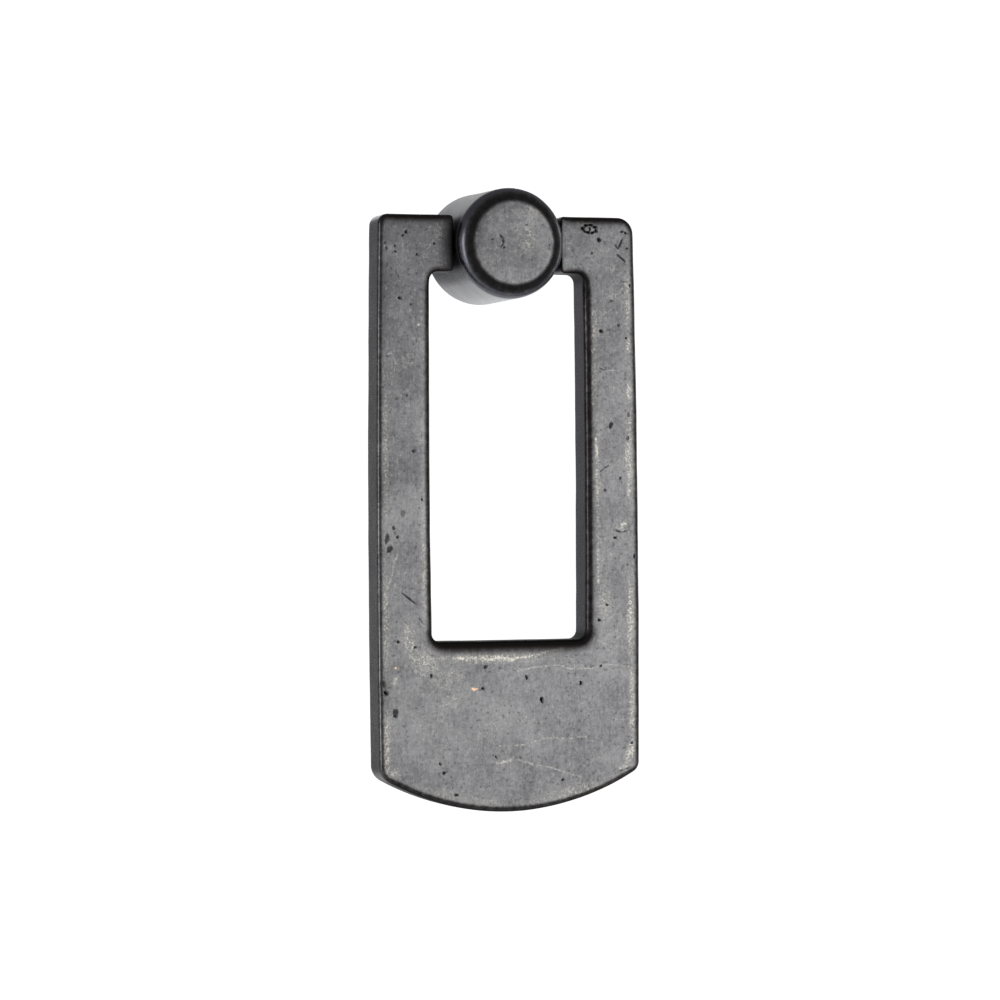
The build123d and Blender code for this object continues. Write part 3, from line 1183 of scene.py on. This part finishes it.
def add_node(tree, kind, inputs=None, output=0, **settings):
    """Adds a node, sets its properties, fills or links its inputs, and gives back one output."""
    made = tree.nodes.new(kind)
    for name, value in settings.items():
        setattr(made, name, value)
    for name, value in (inputs or {}).items():
        if isinstance(value, bpy.types.NodeSocket):
            tree.links.new(value, made.inputs[name])
        else:
            made.inputs[name].default_value = value
    return made.outputs[output] if made.outputs else None


def new_material(name):
    """A material with no nodes yet, and its node tree."""
    material = bpy.data.materials.new(name)
    material.use_nodes = True
    material.node_tree.nodes.clear()
    return material, material.node_tree


def weighted_sum(tree, *terms):
    """Adds up patterns: each term is a pattern and its weight."""
    total = 0.0
    for pattern, weight in terms:
        inputs = {0: pattern, 1: weight, 2: total}
        total = add_node(tree, "ShaderNodeMath", inputs, operation="MULTIPLY_ADD")
    return total


def lay_over(tree, below, above, pattern, low, high, thin=0.0, full=1.0, rise="SMOOTHSTEP"):
    """Lays one colour over another, thin where a pattern is low and full where it is high."""
    inputs = {0: pattern, 1: low, 2: high, 3: thin, 4: full}
    share = add_node(tree, "ShaderNodeMapRange", inputs, interpolation_type=rise)
    colours = {0: share, 6: below, 7: above}
    return add_node(tree, "ShaderNodeMix", colours, output=2, data_type="RGBA")


# Patterns of the bronze: size in millimetres, detail, roughness, and how they are stretched.
# The clouds and the mottle are the uneven rubbing, the streaks are fine upright brushing, the
# crumbs and grit are the grain of the casting, drawn coarse enough to show.
BRONZE_PATTERNS = {
    "clouds": (6.0, 2.0, 0.6, (1.0, 1.0, 1.0)),
    "mottle": (0.9, 3.0, 0.6, (1.0, 1.0, 1.0)),
    "grit": (0.24, 3.0, 0.75, (1.0, 1.0, 1.0)),
    "crumbs": (0.34, 2.0, 0.7, (1.0, 1.0, 1.0)),
    "streaks": (0.22, 2.0, 0.6, (1.0, 1.0, 0.12)),
    "specks": (0.5, 2.0, 0.55, (1.0, 1.0, 1.0)),
    "curls": (1.1, 1.0, 0.5, (1.0, 1.0, 1.0)),
    "scuffs": (4.5, 1.0, 0.6, (1.0, 1.0, 1.0)),
}


def bronze(name, finish, side_colour, black_from, black_full, shade_top):
    """Cast or turned bronze under a black patina that was rubbed back by hand.

    To the eye it is a satin mid grey metal, paler and warmer where it is worn, and a dull black in
    every hollow and at the edges, where black is also painted as shade beside the post and under the
    lugs and the foot. The black of the edges sets in as the surface turns to the front from black_from
    to black_full, and shade_top is how much painted shade darkens the upper left against the lower
    right, the side of the front soft light.
    """
    material, tree = new_material(name)
    place = add_node(tree, "ShaderNodeTexCoord", output="Object")
    painted = {}
    for key in ("facing", "pit", "worn", "bare", "rim", "fade", "grime_and_shade"):
        painted[key] = add_node(tree, "ShaderNodeAttribute", output="Fac", attribute_name=key)
    facing, worn = painted["facing"], painted["worn"]
    pattern = {}
    for key, (size, detail, rough, stretch) in BRONZE_PATTERNS.items():
        inputs = {0: place, 1: stretch}
        vector = add_node(tree, "ShaderNodeVectorMath", inputs, operation="MULTIPLY")
        inputs = {"Vector": vector, "Scale": 1000 / size, "Detail": detail, "Roughness": rough}
        pattern[key] = add_node(tree, "ShaderNodeTexNoise", inputs)
    mottle, grit, streaks = pattern["mottle"], pattern["grit"], pattern["streaks"]
    soft = {"interpolation_type": "SMOOTHSTEP"}
    crumbs = add_node(tree, "ShaderNodeMapRange", {0: pattern["crumbs"], 1: 0.36, 2: 0.64}, **soft)

    # Painted shade: darker towards the upper left, lighter towards the lower right where the front soft light
    # stands
    height = add_node(tree, "ShaderNodeSeparateXYZ", {0: place}, output="Z")
    side = add_node(tree, "ShaderNodeSeparateXYZ", {0: place}, output="X")
    slope = weighted_sum(tree, (height, 1.0), (side, -0.7))
    inputs = {0: slope, 1: -0.035, 2: 0.02, 3: 0.02, 4: -shade_top}
    painted_side_shade = add_node(tree, "ShaderNodeMapRange", inputs, **soft)
    rubbing = weighted_sum(
        tree,
        (pattern["clouds"], 0.3),
        (mottle, 0.36),
        (streaks, 0.17),
        (crumbs, 0.06),
        (grit, 0.03),
        (painted_side_shade, 1.0),
    )
    tone = lay_over(tree, finish.rubbed, finish.pale, rubbing, 0.3, 0.66)

    # Small dark specks where the rubbing missed a hollow, and light ones where it bit
    tone = lay_over(tree, tone, finish.dark, pattern["specks"], 0.6, 0.7, 0.0, 0.5)
    tone = lay_over(tree, tone, finish.worn, pattern["specks"], 0.28, 0.4, 0.2, 0.0)

    # Fine curled scratches along the crests of a pattern, thicker where the face is worn
    crest = weighted_sum(tree, (pattern["curls"], 1.0), (-0.5, 1.0))
    off_crest = add_node(tree, "ShaderNodeMath", {0: crest}, operation="ABSOLUTE")
    scuffing = weighted_sum(tree, (pattern["scuffs"], 1.0), (worn, 0.45))
    inputs = {0: scuffing, 1: 0.53, 2: 0.8, 3: 0.0, 4: 0.38}
    scuffed = add_node(tree, "ShaderNodeMapRange", inputs, **soft)
    tone = lay_over(tree, tone, finish.worn, off_crest, 0.006, 0.03, scuffed, 0.0)

    # Worn marks are a soft haze that breaks up into crumbs
    tone = lay_over(tree, tone, finish.worn, worn, 0.0, 1.0, 0.0, 0.3, rise="LINEAR")
    crinkle = weighted_sum(tree, (worn, 1.0), (crumbs, 0.85))
    tone = lay_over(tree, tone, finish.worn, crinkle, 0.82, 1.4, 0.0, 0.9)

    # Towards the edges the black patina was left whole
    edge_tone = lay_over(tree, side_colour, finish.dark, facing, black_from, black_full)
    ragged = weighted_sum(tree, (painted["rim"], 1.0), (mottle, 0.5))
    border = weighted_sum(tree, (painted["fade"], 1.0), (mottle, 0.5))
    from_edge = add_node(tree, "ShaderNodeMath", {0: ragged, 1: border}, operation="DIVIDE")
    tone = lay_over(tree, edge_tone, tone, from_edge, 0.15, 1.0)
    chipped = weighted_sum(tree, (painted["bare"], 1.0), (grit, 0.4))
    tone = lay_over(tree, tone, finish.bare, chipped, 0.35, 0.75)
    # Black deposit in the pits, and painted shade laid on in the same black
    inputs = {0: painted["pit"], 1: painted["grime_and_shade"]}
    blackened_and_shaded = add_node(tree, "ShaderNodeMath", inputs, operation="MAXIMUM")
    tone = lay_over(tree, tone, finish.deposit_and_shade, blackened_and_shaded, 0.0, 1.0, rise="LINEAR")

    # Where the deposit and the painted shade lie black, the surface is dull and no longer looks like metal
    roughness = weighted_sum(tree, (mottle, 0.16), (facing, 0.1), (blackened_and_shaded, 0.35), (0.16, 1.0))
    relief = weighted_sum(tree, (grit, 0.5), (crumbs, 0.3), (streaks, 0.3))
    inputs = {0: facing, 1: 0.0, 2: 1.0, 3: 0.12, 4: 0.35}
    strength = add_node(tree, "ShaderNodeMapRange", inputs, **soft)
    inputs = {"Strength": strength, "Distance": 0.015 * MM, "Height": relief}
    inputs = {
        "Base Color": tone,
        "Metallic": weighted_sum(tree, (blackened_and_shaded, -0.9), (1.0, 1.0)),
        "Roughness": roughness,
        "Specular IOR Level": weighted_sum(tree, (blackened_and_shaded, -0.45), (0.5, 1.0)),
        "Normal": add_node(tree, "ShaderNodeBump", inputs),
    }
    shader = add_node(tree, "ShaderNodeBsdfPrincipled", inputs)
    add_node(tree, "ShaderNodeOutputMaterial", {"Surface": shader})
    return material


def blackened_steel(finish):
    """Drawn steel, chemically blackened: to the eye a dark even gloss with fine drawing lines."""
    material, tree = new_material("drawn_steel_blackened")
    line_spacing = 0.12
    place = add_node(tree, "ShaderNodeTexCoord", output="Object")
    inputs = {0: place, 1: (0.05, 1.0, 1.0)}
    drawn = add_node(tree, "ShaderNodeVectorMath", inputs, operation="MULTIPLY")
    inputs = {"Vector": drawn, "Scale": 1000 / line_spacing, "Detail": 2.0}
    lines = add_node(tree, "ShaderNodeTexNoise", inputs)
    tone = lay_over(tree, finish.dark, finish.steel, lines, 0.0, 1.0, rise="LINEAR")
    inputs = {0: lines, 1: 0.3, 2: 0.7, 3: 0.3, 4: 0.42}
    roughness = add_node(tree, "ShaderNodeMapRange", inputs)
    inputs = {"Strength": 0.3, "Distance": 0.01 * MM, "Height": lines}
    bump = add_node(tree, "ShaderNodeBump", inputs)
    inputs = {"Base Color": tone, "Metallic": 1.0, "Roughness": roughness, "Normal": bump}
    shader = add_node(tree, "ShaderNodeBsdfPrincipled", inputs)
    add_node(tree, "ShaderNodeOutputMaterial", {"Surface": shader})
    return material


def studio_paper(name, colour, glow, start):
    """Matt pressed paper. Behind its start, a glow lifts it to white and leaves shadows on it."""
    material, tree = new_material(name)
    inputs = {"Base Color": colour, "Roughness": 0.9, "Specular IOR Level": 0.0}
    paper = add_node(tree, "ShaderNodeBsdfPrincipled", inputs)
    place = add_node(tree, "ShaderNodeTexCoord", output="Object")
    back = add_node(tree, "ShaderNodeSeparateXYZ", {0: place}, output="Y")
    inputs = {0: back, 1: start - GLOW_RISE, 2: start + GLOW_RISE, 4: glow}
    reach = add_node(tree, "ShaderNodeMapRange", inputs, interpolation_type="SMOOTHSTEP")
    shown = 0.0
    for ray in ("Is Camera Ray", "Is Glossy Ray", "Is Transmission Ray"):
        seen = add_node(tree, "ShaderNodeLightPath", output=ray)
        shown = add_node(tree, "ShaderNodeMath", {0: shown, 1: seen}, operation="MAXIMUM")
    lift = add_node(tree, "ShaderNodeMath", {0: shown, 1: reach}, operation="MULTIPLY")
    white = add_node(tree, "ShaderNodeEmission", {"Color": linear("#ffffff"), "Strength": lift})
    surface = add_node(tree, "ShaderNodeAddShader", {0: paper, 1: white})
    add_node(tree, "ShaderNodeOutputMaterial", {"Surface": surface})
    return material


# Stage

# The floor's extent to the left, right and front, all in metres
FLOOR_LEFT, FLOOR_RIGHT, FLOOR_FRONT = -1.8, 2.2, -1.8

# How strongly each paper glows behind its start, and half of the depth in which the glow sets in
FLOOR_GLOW = 0.66
CARD_GLOW = 0.72
GLOW_RISE = 0.06

# Soft lights: place, width and height in metres, and power in watts
SOFT_LIGHTS = {
    "front_soft_light": ((0.56, -1.0, -0.16), 0.8, 0.9, 3.5),
    "left_strip_light": ((-0.93, -0.25, -0.06), 0.16, 0.7, 2.0),
    "right_strip_light": ((0.95, 0.16, -0.03), 0.12, 0.7, 1.6),
}
LIGHT_TARGET = Vector((0, 0, -0.04))
ROOM_LIGHT = 0.26

NEAR_CLIP, FAR_CLIP = 0.01, 20


def soft_light(name, place, width, height, power):
    """A rectangular soft light that points at the pull."""
    data = bpy.data.lights.new(name, "AREA")
    data.shape = "RECTANGLE"
    data.size = width
    data.size_y = height
    data.energy = power
    lamp = bpy.data.objects.new(name, data)
    lamp.location = place
    lamp.rotation_mode = "QUATERNION"
    lamp.rotation_quaternion = (LIGHT_TARGET - Vector(place)).to_track_quat("-Z", "Y")
    lamp.visible_camera = False
    bpy.context.scene.collection.objects.link(lamp)


class DROPPULL_OT_stage(bpy.types.Operator):
    """Sets up the paper sweep, soft lights and camera"""

    bl_idname = "drop_pull.stage"
    bl_label = "Studio Stage"

    def execute(self, context):
        stage = context.scene.drop_pull_stage
        self.papers(stage)
        self.lights(context)
        self.camera(context, stage)
        return {"FINISHED"}

    def papers(self, stage):
        """A wide pale floor, and a white card that stands on it behind the object."""
        floor = PIVOT.z - stage.floor_drop
        back = stage.card_distance
        top = floor + stage.card_height
        left, right = stage.card_left, stage.card_right
        sheets = {
            "paper_floor": (
                (FLOOR_LEFT, FLOOR_FRONT, floor),
                (FLOOR_RIGHT, FLOOR_FRONT, floor),
                (FLOOR_RIGHT, back, floor),
                (FLOOR_LEFT, back, floor),
            ),
            "paper_card": (
                (left, back, floor),
                (right, back, floor),
                (right, back, top),
                (left, back, top),
            ),
        }
        ground, card = (add_mesh(name, sheets[name], [(0, 1, 2, 3)], {}) for name in sheets)
        floor_paper = studio_paper("matt_floor_paper", stage.floor, FLOOR_GLOW, stage.glow_start)
        ground.data.materials.append(floor_paper)
        # The card glows all over, so its glow starts in front of the floor
        card_paper = studio_paper("matt_backdrop_paper", stage.backdrop, CARD_GLOW, FLOOR_FRONT)
        card.data.materials.append(card_paper)

    def lights(self, context):
        """Even light from all round, a large soft front light and a strip on each side."""
        world = bpy.data.worlds.new("studio")
        world.use_nodes = True
        tree = world.node_tree
        tree.nodes.clear()
        inputs = {"Color": linear("#ffffff"), "Strength": ROOM_LIGHT}
        room = add_node(tree, "ShaderNodeBackground", inputs)
        add_node(tree, "ShaderNodeOutputWorld", {"Surface": room})
        context.scene.world = world
        for name, settings in SOFT_LIGHTS.items():
            soft_light(name, *settings)

    def camera(self, context, stage):
        """A long lens that looks at the pull's left side from a little below its pivot."""
        yaw, pitch, roll = stage.camera_yaw, stage.camera_pitch, stage.camera_roll
        flat = math.cos(pitch)
        ahead = Vector((math.sin(yaw) * flat, math.cos(yaw) * flat, math.sin(pitch)))
        level = Vector((math.cos(yaw), -math.sin(yaw), 0))
        up = level.cross(ahead)
        right = level * math.cos(roll) + up * math.sin(roll)
        up = up * math.cos(roll) - level * math.sin(roll)
        data = bpy.data.cameras.new("camera")
        data.sensor_width = SENSOR_WIDTH
        data.lens = stage.focal_pixels / IMAGE_WIDTH * SENSOR_WIDTH
        data.clip_start = NEAR_CLIP
        data.clip_end = FAR_CLIP
        camera = bpy.data.objects.new("camera", data)
        turn = Matrix((right, up, -ahead)).transposed().to_4x4()
        camera.matrix_world = Matrix.Translation(Vector(stage.camera_place)) @ turn
        context.scene.collection.objects.link(camera)
        context.scene.camera = camera
        context.scene.view_settings.view_transform = "Standard"


# Panel and registration


class DROPPULL_PT_panel(bpy.types.Panel):
    """Lists the pull's pieces and their sizes"""

    bl_label = "Drop Pull"
    bl_idname = "DROPPULL_PT_panel"
    bl_space_type = "VIEW_3D"
    bl_region_type = "UI"
    bl_category = "Drop Pull"

    def draw(self, context):
        layout = self.layout
        scene = context.scene
        for operator, group in (
            (DROPPULL_OT_bail, scene.drop_pull_bail),
            (DROPPULL_OT_post, scene.drop_pull_post),
            (DROPPULL_OT_pin, scene.drop_pull_finish),
            (DROPPULL_OT_stage, scene.drop_pull_stage),
        ):
            box = layout.box()
            box.operator(operator.bl_idname)
            for name in group.__annotations__:
                box.prop(group, name)


CLASSES = (
    DropPullBailSettings,
    DropPullPostSettings,
    DropPullFinishSettings,
    DropPullStageSettings,
    DROPPULL_OT_bail,
    DROPPULL_OT_post,
    DROPPULL_OT_pin,
    DROPPULL_OT_stage,
    DROPPULL_PT_panel,
)

SETTINGS = {
    "drop_pull_bail": DropPullBailSettings,
    "drop_pull_post": DropPullPostSettings,
    "drop_pull_finish": DropPullFinishSettings,
    "drop_pull_stage": DropPullStageSettings,
}


def register():
    """Adds the classes, and their settings to every scene."""
    for kind in CLASSES:
        bpy.utils.register_class(kind)
    for name, group in SETTINGS.items():
        setattr(bpy.types.Scene, name, PointerProperty(type=group))


def unregister():
    """Takes the settings and the classes away again."""
    for name in SETTINGS:
        delattr(bpy.types.Scene, name)
    for kind in reversed(CLASSES):
        bpy.utils.unregister_class(kind)


def main():
    """Builds the stage and every piece."""
    register()
    bpy.ops.drop_pull.stage()
    bpy.ops.drop_pull.bail()
    bpy.ops.drop_pull.post()
    bpy.ops.drop_pull.pin()


if __name__ == "__main__":
    main()
